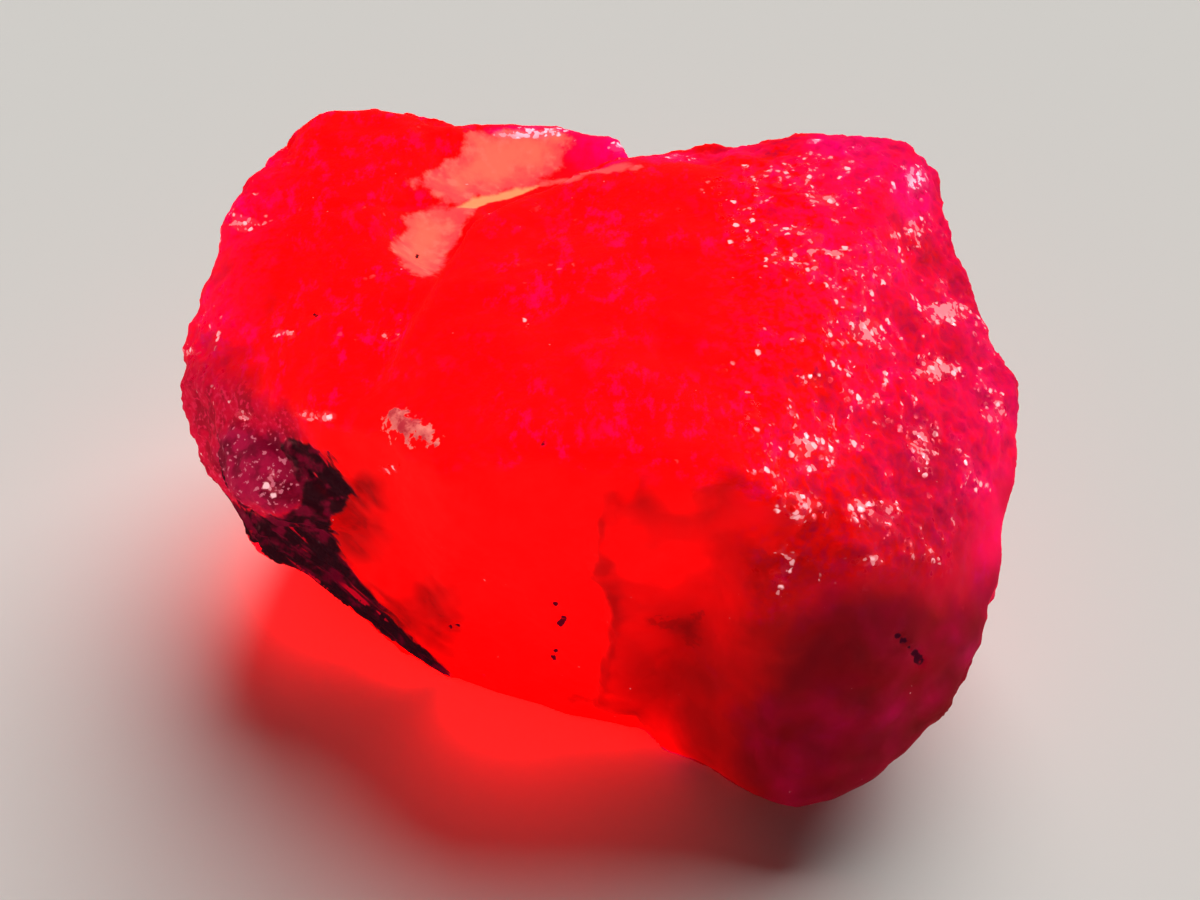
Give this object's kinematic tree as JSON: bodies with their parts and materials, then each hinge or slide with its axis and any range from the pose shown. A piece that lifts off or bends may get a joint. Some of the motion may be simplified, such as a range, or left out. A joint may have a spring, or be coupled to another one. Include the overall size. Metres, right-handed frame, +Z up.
{
  "type": "raw ruby crystal",
  "caption": "Rough, translucent lump of red corundum with a hollow fracture, a dark mineral skin and a flat parting face to rest on; a mineral specimen for display.",
  "frame": {"origin": "under the middle of the stone's bounding box, on the plane it rests on", "axes": "+X to the right along the longest side, +Y from the smooth front face to the back, +Z up"},
  "size_m": [0.0938, 0.0784, 0.0521],
  "materials": {
    "ruby": "rough broken corundum: satin, granular, translucent deep red"
  },
  "bodies": {
    "root": {"ruby_crystal": "ruby"}
  },
  "joints": []
}
